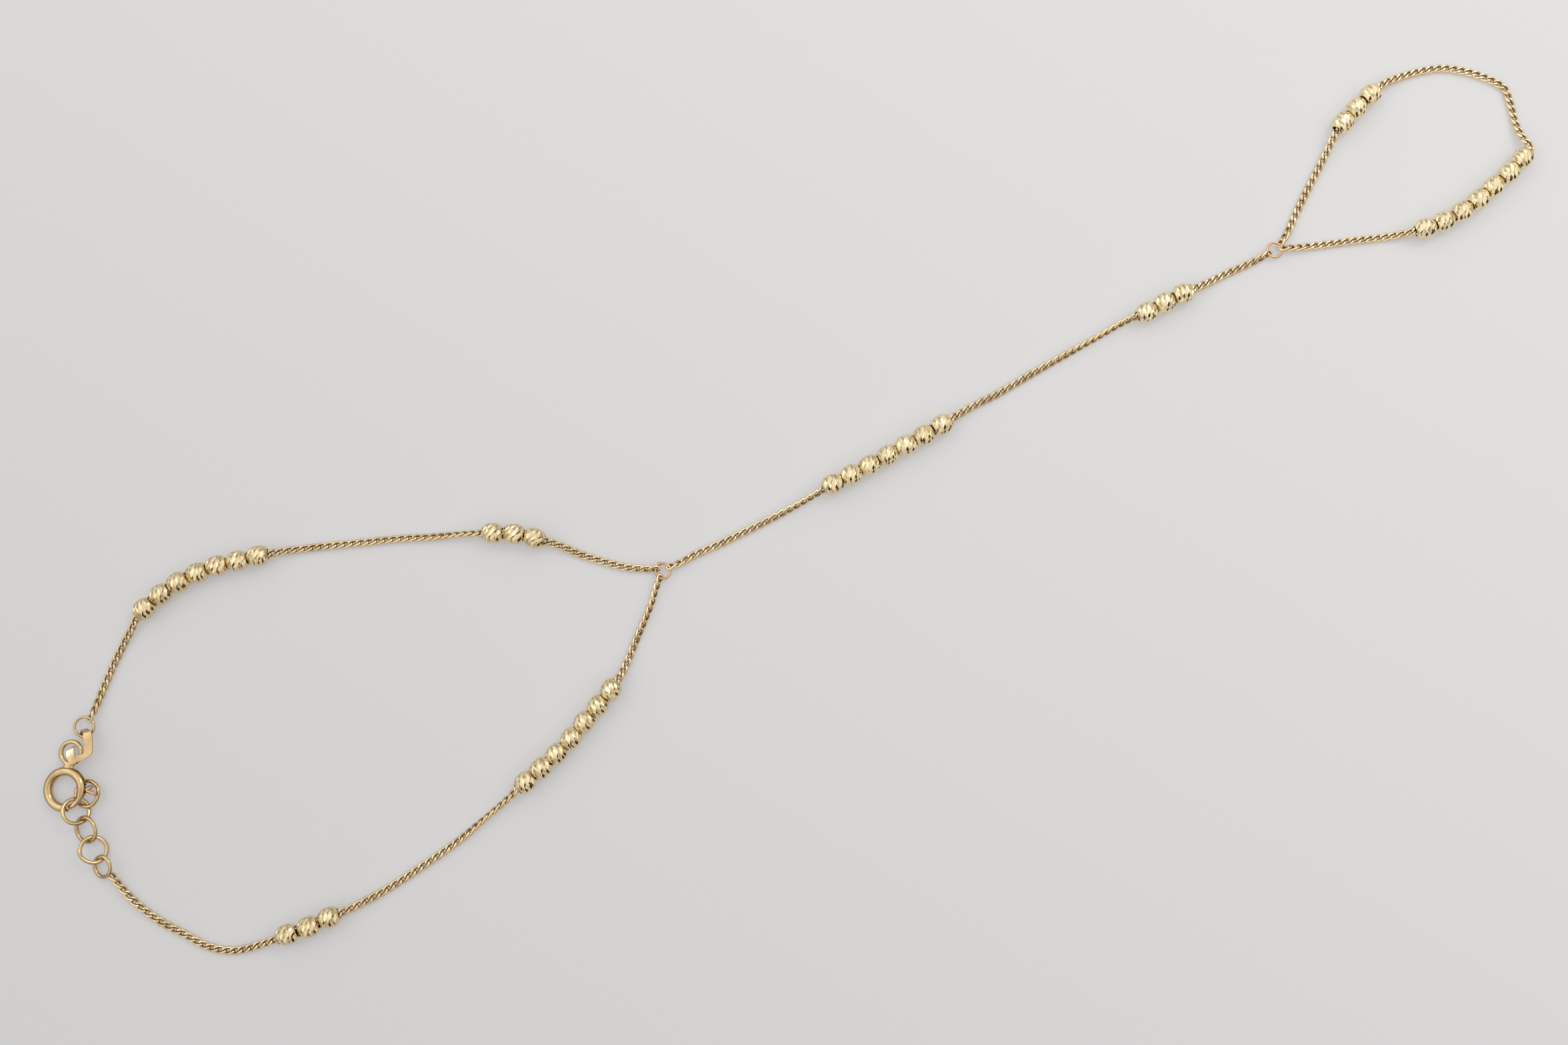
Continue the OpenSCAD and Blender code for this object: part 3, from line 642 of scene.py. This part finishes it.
def trigger_part(outline):
    """One faceted part of the trigger: rows of radius, place across it, width and height."""
    rows = []
    for radius, across, width, height in smooth(outline, TRIGGER_STEPS):
        angle = across / radius
        rows.append([
            on_spring_ring(radius, angle + u * width / radius, v * height) for u, v in TRIGGER_SECTION])
    return loft(rows)


def ring_of(name):
    """Middle, two directions across and mean radius of a ring-shaped node, in millimetres."""
    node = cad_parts[name]
    corners = np.array([node.matrix_world @ v.co for v in node.data.vertices]) / MM
    middle = corners.mean(axis=0)
    normal = Vector(np.linalg.eigh(np.cov((corners - middle).T))[1][:, 0])
    normal *= math.copysign(1, normal.z)
    first = (Vector((1, 0, 0)) - normal * normal.x).normalized()
    radius = np.linalg.norm(corners - middle, axis=1).mean()
    return Vector(middle), first, normal.cross(first), radius


def forged_link(name, wire, chance):
    """Points and faces of an extension link: a slightly uneven ring of wire with its solder seam."""
    middle, first, second, radius = ring_of(name)
    normal = first.cross(second)
    seam = chance.uniform(0, math.tau)
    uneven = [chance.uniform(-UNEVEN, UNEVEN) for _ in range(3)]
    rows = []
    for t in turns(LINK_STATIONS):
        way = first * math.cos(t) + second * math.sin(t)
        from_seam = (t - seam + math.pi) % math.tau - math.pi
        half = wire / 2 * (1 + SEAM_SWELL * math.exp(-from_seam ** 2 / SEAM_SPREAD))
        wave = sum(u * math.sin((k + 2) * t + 3 * k) for k, u in enumerate(uneven))
        rows.append([middle + way * (radius + wave + half * math.cos(angle))
                     + normal * (half * WIRE_FLATTENED * math.sin(angle)) for angle in turns(WIRE_SIDES)])
    return loft(rows, closed=True)


# Shader values

class Value:
    """A socket of a node tree. Arithmetic on it adds Math nodes."""

    def __init__(self, tree, socket):
        self.tree = tree
        self.socket = socket

    def math(self, operation, first, second):
        return self.tree.node("ShaderNodeMath", {"operation": operation}, {0: first, 1: second})[0]

    def __add__(self, other):
        return self.math("ADD", self, other)

    __radd__ = __add__

    def __mul__(self, other):
        return self.math("MULTIPLY", self, other)

    __rmul__ = __mul__

    def __sub__(self, other):
        return self.math("SUBTRACT", self, other)

    def __rsub__(self, other):
        return self.math("SUBTRACT", other, self)

    def above(self, low, high):
        """0 below low, 1 above high and smooth between."""
        return self.tree.node(
            "ShaderNodeMapRange", {"interpolation_type": "SMOOTHSTEP"},
            {"Value": self, "From Min": low, "From Max": high, "To Min": 0, "To Max": 1})[0]


class Outputs:
    """The outputs of one node, by name or number."""

    def __init__(self, tree, node):
        self.tree = tree
        self.source = node

    def __getitem__(self, key):
        return Value(self.tree, self.source.outputs[key])


class Tree:
    """A node tree that is built by calls."""

    def __init__(self, tree):
        self.tree = tree
        tree.nodes.clear()

    def node(self, kind, settings, sockets):
        """Adds a node: its settings first, then the values or links of its sockets."""
        node = self.tree.nodes.new(kind)
        for name, value in settings.items():
            setattr(node, name, value)
        for key, value in sockets.items():
            if isinstance(value, Value):
                self.tree.links.new(value.socket, node.inputs[key])
            else:
                node.inputs[key].default_value = value
        return Outputs(self, node)

    def mix(self, factor, first, second):
        """A colour between two others."""
        return self.node(
            "ShaderNodeMix", {"data_type": "RGBA"}, {0: factor, 6: first, 7: second})[2]

    def noise(self, vector, scale, detail=2.0, roughness=0.5):
        """Fractal noise, from 0 to 1."""
        return self.node(
            "ShaderNodeTexNoise", {},
            {"Vector": vector, "Scale": scale, "Detail": detail, "Roughness": roughness})[0]


def colour(rgb):
    """A colour for a socket, from its red, green and blue."""
    return (rgb[0], rgb[1], rgb[2], 1.0)


def gold_material(name, bright, deep, hammered=None, recess_shade=None):
    """Polished gold whose colour and gloss vary with handling, with fine scratches. Shade is painted into
    its colour towards the wrist, at negative X, where the light falls off. Where hammered is given, the
    metal is hammered away from that point and its polished end is painted paler as sheen, and where the
    recess shade is given, that colour is painted into the recesses as shade."""
    roughness, wear, bump = FINISHES[name]
    material = bpy.data.materials.new(name)
    material.use_nodes = True
    tree = Tree(material.node_tree)
    place = tree.node("ShaderNodeTexCoord", {}, {})["Object"]
    grain = tree.noise(place, *GRAIN)
    stretched = tree.node(
        "ShaderNodeMapping", {}, {"Vector": place, "Rotation": SCRATCH_TURN, "Scale": SCRATCH_SCALE})[0]
    scratches = tree.noise(stretched, 1)
    handled = tree.noise(place, *CLOUDS).above(*HANDLED)
    # Painted shade: the gold is darker towards negative X, where the light falls off
    painted_shade = 1 - tree.node("ShaderNodeSeparateXYZ", {}, {"Vector": place})["X"].above(*PAINTED_SHADE_SPAN)
    tint = tree.mix(handled * wear, colour(bright), colour(deep))
    tint = tree.node("ShaderNodeMix", {"data_type": "RGBA", "blend_type": "MULTIPLY"},
                     {0: painted_shade, 6: tint, 7: colour(PAINTED_SHADE_TINT)})[2]
    gloss = handled * (wear * HANDLED_DULL) + grain * GRAIN_DULL + roughness
    height = grain * 0.5 + scratches * 0.5
    if recess_shade is not None:
        # Painted shade in the hollows, where the wire turns into the link's opening; they are also duller
        recess = tree.node("ShaderNodeAttribute", {"attribute_name": "recess"}, {})["Fac"]
        tint = tree.mix(recess * (grain * RECESS_SHADE_GRAIN + RECESS_SHADE_SHARE), tint, colour(recess_shade))
        gloss = gloss + recess * HOLLOW_DULL
    if hammered is not None:
        away = tree.node("ShaderNodeVectorMath", {"operation": "DISTANCE"},
                         {0: place, 1: tuple(c * MM for c in hammered)})["Value"].above(*HAMMERED)
        height = height + (tree.noise(place, *DENTS) - 0.5) * away * DENT_HEIGHT
        gloss = gloss + away * DENT_DULL - (1 - away) * POLISH_GLOSS
        # Painted sheen: the polished end is paler
        tint = tree.mix(away, colour(POLISHED_SHEEN_TINT), tint)
    normal = tree.node(
        "ShaderNodeBump", {}, {"Strength": bump, "Distance": GRAIN_HEIGHT, "Height": height})[0]
    shader = tree.node(
        "ShaderNodeBsdfPrincipled", {},
        {"Base Color": tint, "Metallic": 1.0, "Roughness": gloss, "Normal": normal})[0]
    tree.node("ShaderNodeOutputMaterial", {}, {"Surface": shader})
    return material


# Settings

class BraceletChain(bpy.types.PropertyGroup):
    """Curb chain."""
    wire: bpy.props.FloatProperty(
        name="Wire", description="Diameter of the wire of a link", default=0.36 * MM, unit="LENGTH",
        precision=5)
    flat: bpy.props.FloatProperty(
        name="Flat", description="Height of the rolled flat above the middle", default=0.26 * MM,
        unit="LENGTH", precision=5)
    steps: bpy.props.IntProperty(name="Steps", description="Stations round a link", default=32, min=12)
    sides: bpy.props.IntProperty(name="Sides", description="Sides of the wire", default=10, min=6)


class BraceletBead(bpy.types.PropertyGroup):
    """Diamond-cut beads."""
    flute_depth: bpy.props.FloatProperty(
        name="Flute depth", description="Depth of a full flute below its flat", default=0.022 * MM,
        unit="LENGTH", precision=5)
    band_step: bpy.props.FloatProperty(
        name="Band step", description="How far the bands at the ends lie below the middle one",
        default=0.03 * MM, unit="LENGTH", precision=5)
    slant: bpy.props.FloatProperty(
        name="Slant", description="Of the flutes against the bore", default=math.radians(46),
        subtype="ANGLE")
    band_lean: bpy.props.FloatProperty(
        name="Band lean", description="How far a band's border leans along the bead", default=0.08 * MM,
        unit="LENGTH", precision=5)


class BraceletClasp(bpy.types.PropertyGroup):
    """Clasp and extension."""
    wire: bpy.props.FloatProperty(
        name="Link wire", description="Thickness of the wire of an extension link", default=0.48 * MM,
        unit="LENGTH", precision=5)


class BraceletGold(bpy.types.PropertyGroup):
    """Colours of the metal."""
    bead: bpy.props.FloatVectorProperty(
        name="Bead", description="Gold of the beads", subtype="COLOR", size=3, default=(0.92, 0.78, 0.5))
    bead_deep: bpy.props.FloatVectorProperty(
        name="Bead, handled", description="Gold of the beads where it is dull", subtype="COLOR", size=3,
        default=(0.84, 0.68, 0.4))
    chain: bpy.props.FloatVectorProperty(
        name="Chain", description="Gold of the chain", subtype="COLOR", size=3, default=(0.97, 0.77, 0.48))
    chain_deep: bpy.props.FloatVectorProperty(
        name="Chain, handled", description="Gold of the chain where it is dull", subtype="COLOR", size=3,
        default=(0.78, 0.57, 0.31))
    # Colour painted into the chain's hollows as shade
    recess_shade: bpy.props.FloatVectorProperty(
        name="Chain, hollows", description="Gold of the chain where polishing doesn't reach it",
        subtype="COLOR", size=3, default=(0.17, 0.11, 0.035))
    clasp: bpy.props.FloatVectorProperty(
        name="Clasp", description="Gold of the clasp", subtype="COLOR", size=3, default=(0.74, 0.56, 0.32))
    clasp_deep: bpy.props.FloatVectorProperty(
        name="Clasp, handled", description="Gold of the clasp where it is dull", subtype="COLOR", size=3,
        default=(0.62, 0.44, 0.23))
    trigger: bpy.props.FloatVectorProperty(
        name="Trigger", description="Gold of the bolt and its trigger", subtype="COLOR", size=3,
        default=(0.84, 0.64, 0.44))
    trigger_deep: bpy.props.FloatVectorProperty(
        name="Trigger, handled", description="Gold of the bolt and its trigger where it is dull",
        subtype="COLOR", size=3, default=(0.68, 0.47, 0.29))
    rose: bpy.props.FloatVectorProperty(
        name="Junction rings", description="Gold of the junction rings", subtype="COLOR", size=3,
        default=(0.80, 0.52, 0.33))
    rose_deep: bpy.props.FloatVectorProperty(
        name="Junction rings, handled", description="Gold of the junction rings where it is dull",
        subtype="COLOR", size=3, default=(0.62, 0.36, 0.20))


class BraceletStage(bpy.types.PropertyGroup):
    """Floor, lights and camera."""
    floor: bpy.props.FloatVectorProperty(
        name="Floor", description="Colour of the floor", subtype="COLOR", size=3,
        default=(0.40, 0.40, 0.398))
    glow: bpy.props.FloatVectorProperty(
        name="Floor glow", description="Light that comes up through the floor", subtype="COLOR", size=3,
        default=(0.280, 0.278, 0.280))
    lens: bpy.props.FloatProperty(name="Lens", description="Focal length", default=39.8)
    distance: bpy.props.FloatProperty(
        name="Distance", description="From the camera to its target", default=0.213, unit="LENGTH")
    elevation: bpy.props.FloatProperty(
        name="Elevation", description="Of the camera above the floor", default=math.radians(84),
        subtype="ANGLE")
    target_x: bpy.props.FloatProperty(
        name="Target X", description="Where the camera looks along X", default=-0.00222, unit="LENGTH",
        precision=5)
    target_y: bpy.props.FloatProperty(
        name="Target Y", description="Where the camera looks along Y", default=-0.00297, unit="LENGTH",
        precision=5)


# Operators

class BRACELET_OT_chains(bpy.types.Operator):
    """Add the four curb chains, link by link"""
    bl_idname = "bracelet.chains"
    bl_label = "Chains"

    def execute(self, context):
        settings = context.scene.bracelet_chain
        gold = context.scene.bracelet_gold
        material = gold_material("chain_gold", gold.chain, gold.chain_deep, recess_shade=gold.recess_shade)
        link = link_points(settings.wire / MM, settings.flat / MM, settings.steps, settings.sides)
        recess = link_recess(settings.steps, settings.sides)
        for name, node in CHAIN_NODES.items():
            strand = Strand(name)
            points, faces = [], []
            for place in strand.link_places():
                faces += tube_faces(settings.steps, settings.sides, len(points))
                matrix = strand.matrix(place)
                points += [matrix @ p for p in link]
            piece = new_piece(node + "_links", resting(points), faces, smooth=True,
                              recess=recess * (len(points) // len(link)))
            finish_piece(piece, material, "chain_gold", BRACELET, node)
        return {"FINISHED"}


class BRACELET_OT_beads(bpy.types.Operator):
    """Add the diamond-cut beads"""
    bl_idname = "bracelet.beads"
    bl_label = "Beads"

    def execute(self, context):
        settings = context.scene.bracelet_bead
        gold = context.scene.bracelet_gold
        material = gold_material("bead_gold", gold.bead, gold.bead_deep)
        for name in CHAIN_NODES:
            strand = Strand(name)
            for i, place in enumerate(strand.bead_places()):
                node = f"{name}_bead_{i + 1}"
                points, faces, soft = bead_mesh(settings, node)
                matrix = strand.matrix(place)
                points = resting(matrix @ Vector(p) for p in points)
                piece = new_piece(node + "_cut", points, faces, smooth=True, soft=soft)
                finish_piece(piece, material, "bead_gold", BRACELET, node)
        return {"FINISHED"}


class BRACELET_OT_rings(bpy.types.Operator):
    """Finish the junction rings"""
    bl_idname = "bracelet.rings"
    bl_label = "Junction rings"

    def execute(self, context):
        gold = context.scene.bracelet_gold
        dress(("finger_ring_link", "wrist_ring_link"), gold_material("rose_gold", gold.rose, gold.rose_deep))
        return {"FINISHED"}


class BRACELET_OT_clasp(bpy.types.Operator):
    """Finish the clasp and add its folded band, neck, bolt with trigger and spring, and extension links"""
    bl_idname = "bracelet.clasp"
    bl_label = "Clasp"

    def execute(self, context):
        gold = context.scene.bracelet_gold
        settings = context.scene.bracelet_clasp
        material = gold_material("clasp_gold", gold.clasp, gold.clasp_deep)
        dress(("clasp_jump_ring", "spring_ring"), material)
        points, faces = band_mesh()
        piece = new_piece("clasp_band_folded", points, faces, smooth=True, crease=BAND_CREASE)
        hammered = gold_material("band_gold", gold.clasp, gold.clasp_deep, hammered=points[-1])
        finish_piece(piece, hammered, "clasp_gold", BRACELET, "clasp_band")
        piece = new_piece("clasp_neck", *neck_mesh(), smooth=True, crease=NECK_CREASE)
        finish_piece(piece, material, "clasp_gold", BRACELET)
        trigger = gold_material("trigger_gold", gold.trigger, gold.trigger_deep)
        points, faces = joined([bolt_bar()] + [trigger_part(outline) for outline in TRIGGER])
        piece = new_piece("spring_bolt_trigger", points, faces, smooth=True, crease=TRIGGER_CREASE)
        finish_piece(piece, trigger, "clasp_gold", BOLT, "spring_bolt")
        piece = new_piece("spring_bolt_coil", *bolt_spring(), smooth=True)
        finish_piece(piece, material, "clasp_gold", BOLT)
        for i in range(EXTENSION_LINKS):
            node = f"extension_link_{i + 1}"
            points, faces = forged_link(node, settings.wire / MM, random.Random(node))
            piece = new_piece(node + "_forged", resting(points), faces, smooth=True)
            finish_piece(piece, material, "clasp_gold", BRACELET, node)
        return {"FINISHED"}


class BRACELET_OT_stage(bpy.types.Operator):
    """Add the floor, the lights and the camera"""
    bl_idname = "bracelet.stage"
    bl_label = "Stage"

    def execute(self, context):
        stage = context.scene.bracelet_stage
        self.add_floor(stage)
        self.add_world(context.scene)
        self.add_lamp(context.scene)
        self.add_camera(context.scene, stage)
        return {"FINISHED"}

    def add_floor(self, stage):
        """Pale paper with a faint painted glow, which lightens its shadows, and painted light that falls off
        towards the near left corner.
        """
        half = FLOOR_HALF
        floor = new_piece("floor", [(-half, -half, 0), (half, -half, 0), (half, half, 0), (-half, half, 0)],
                          [(0, 1, 2, 3)])
        material = bpy.data.materials.new("floor_paper")
        material.use_nodes = True
        tree = Tree(material.node_tree)
        place = tree.node("ShaderNodeTexCoord", {}, {})["Object"]
        cloud = tree.noise(place, *PAPER_CLOUDS)
        grain = tree.noise(place, *PAPER_GRAIN)
        side = tree.node("ShaderNodeSeparateXYZ", {}, {"Vector": place})
        # Painted light: the floor is lit less towards the near left corner
        painted_light = (side["X"] * FLOOR_SLOPE[0] + side["Y"] * FLOOR_SLOPE[1]).above(*FLOOR_FALL)
        shades = [colour([c * share for c in stage.floor]) for share in FLOOR_SHADES]
        tint = tree.mix(cloud * PAPER_MOTTLE, tree.mix(painted_light, *shades), colour(stage.floor))
        normal = tree.node(
            "ShaderNodeBump", {}, {"Strength": PAPER_BUMP, "Distance": PAPER_HEIGHT, "Height": grain})[0]
        # The floor's glow is painted light that lightens its shadows
        shader = tree.node(
            "ShaderNodeBsdfPrincipled", {},
            {"Base Color": tint, "Roughness": PAPER_ROUGHNESS, "Normal": normal,
             "Emission Color": colour(stage.glow), "Emission Strength": 1.0})[0]
        tree.node("ShaderNodeOutputMaterial", {}, {"Surface": shader})
        floor.data.materials.append(material)

    def add_world(self, scene):
        """A bright ceiling, a window at the left, dim walls and a dark room at the front right."""
        world = bpy.data.worlds.new("studio")
        world.use_nodes = True
        scene.world = world
        tree = Tree(world.node_tree)
        place = tree.node("ShaderNodeTexCoord", {}, {})["Generated"]
        way = tree.node("ShaderNodeSeparateXYZ", {}, {"Vector": place})

        def towards(x, y, z, low, high):
            return (way["X"] * x + way["Y"] * y + way["Z"] * z).above(low, high)

        dark_room = (1 - way["Z"].above(*DARK_ROOM_TOP)) * towards(*DARK_ROOM)
        strength = (ROOM_LIGHT + way["Z"].above(*CEILING) * CEILING_LIGHT) * (1 - dark_room * DARK_ROOM_DIMS)
        for *part, dims in DIM_PARTS:
            strength = strength * (1 - towards(*part) * dims)
        for *part, adds in BRIGHT_PARTS:
            strength = strength + towards(*part) * adds
        tint = tree.mix(dark_room, colour(ROOM_TINT), colour(DARK_ROOM_TINT))
        shader = tree.node("ShaderNodeBackground", {}, {"Color": tint, "Strength": strength})[0]
        tree.node("ShaderNodeOutputWorld", {}, {"Surface": shader})

    def add_lamp(self, scene):
        """A round soft lamp, at the far right."""
        light = bpy.data.lights.new("key", "AREA")
        light.shape = "DISK"
        light.size = LAMP_SIZE
        light.energy = LAMP_POWER
        light.color = LAMP_TINT
        lamp = bpy.data.objects.new("key", light)
        scene.collection.objects.link(lamp)
        lamp.location = LAMP_PLACE
        lamp.rotation_euler = (-Vector(LAMP_PLACE)).to_track_quat("-Z", "Y").to_euler()

    def add_camera(self, scene, stage):
        """The camera, which looks almost straight down."""
        camera = bpy.data.cameras.new("camera")
        camera.lens = stage.lens
        camera.sensor_width = SENSOR_WIDTH
        camera.clip_start, camera.clip_end = CLIPS
        rig = bpy.data.objects.new("camera", camera)
        scene.collection.objects.link(rig)
        target = Vector((stage.target_x, stage.target_y, 0))
        away = Vector((0, -math.cos(stage.elevation), math.sin(stage.elevation)))
        rig.location = target + stage.distance * away
        rig.rotation_euler = (math.pi / 2 - stage.elevation, 0, 0)
        scene.camera = rig
        scene.view_settings.view_transform = "Standard"


class BRACELET_PT_panel(bpy.types.Panel):
    """The bracelet's pieces and their settings"""
    bl_idname = "BRACELET_PT_panel"
    bl_label = "Hand chain bracelet"
    bl_space_type = "VIEW_3D"
    bl_region_type = "UI"
    bl_category = "Bracelet"

    def draw(self, context):
        for operator in OPERATORS:
            self.layout.operator(operator.bl_idname)
        for name in SETTINGS:
            box = self.layout.box()
            group = getattr(context.scene, name)
            for field in group.__annotations__:
                box.prop(group, field)


SETTINGS = {
    "bracelet_chain": BraceletChain,
    "bracelet_bead": BraceletBead,
    "bracelet_clasp": BraceletClasp,
    "bracelet_gold": BraceletGold,
    "bracelet_stage": BraceletStage,
}
OPERATORS = (BRACELET_OT_stage, BRACELET_OT_chains, BRACELET_OT_beads, BRACELET_OT_rings, BRACELET_OT_clasp)


def register():
    """Adds the settings, the operators and the panel to Blender."""
    for name, group in SETTINGS.items():
        bpy.utils.register_class(group)
        setattr(bpy.types.Scene, name, bpy.props.PointerProperty(type=group))
    for operator in OPERATORS:
        bpy.utils.register_class(operator)
    bpy.utils.register_class(BRACELET_PT_panel)


def unregister():
    """Takes out what register added."""
    bpy.utils.unregister_class(BRACELET_PT_panel)
    for operator in reversed(OPERATORS):
        bpy.utils.unregister_class(operator)
    for name, group in SETTINGS.items():
        delattr(bpy.types.Scene, name)
        bpy.utils.unregister_class(group)


def main():
    """Dresses the frame."""
    register()
    bpy.ops.bracelet.stage()
    bpy.ops.bracelet.chains()
    bpy.ops.bracelet.beads()
    bpy.ops.bracelet.rings()
    bpy.ops.bracelet.clasp()


if __name__ == "__main__":
    main()
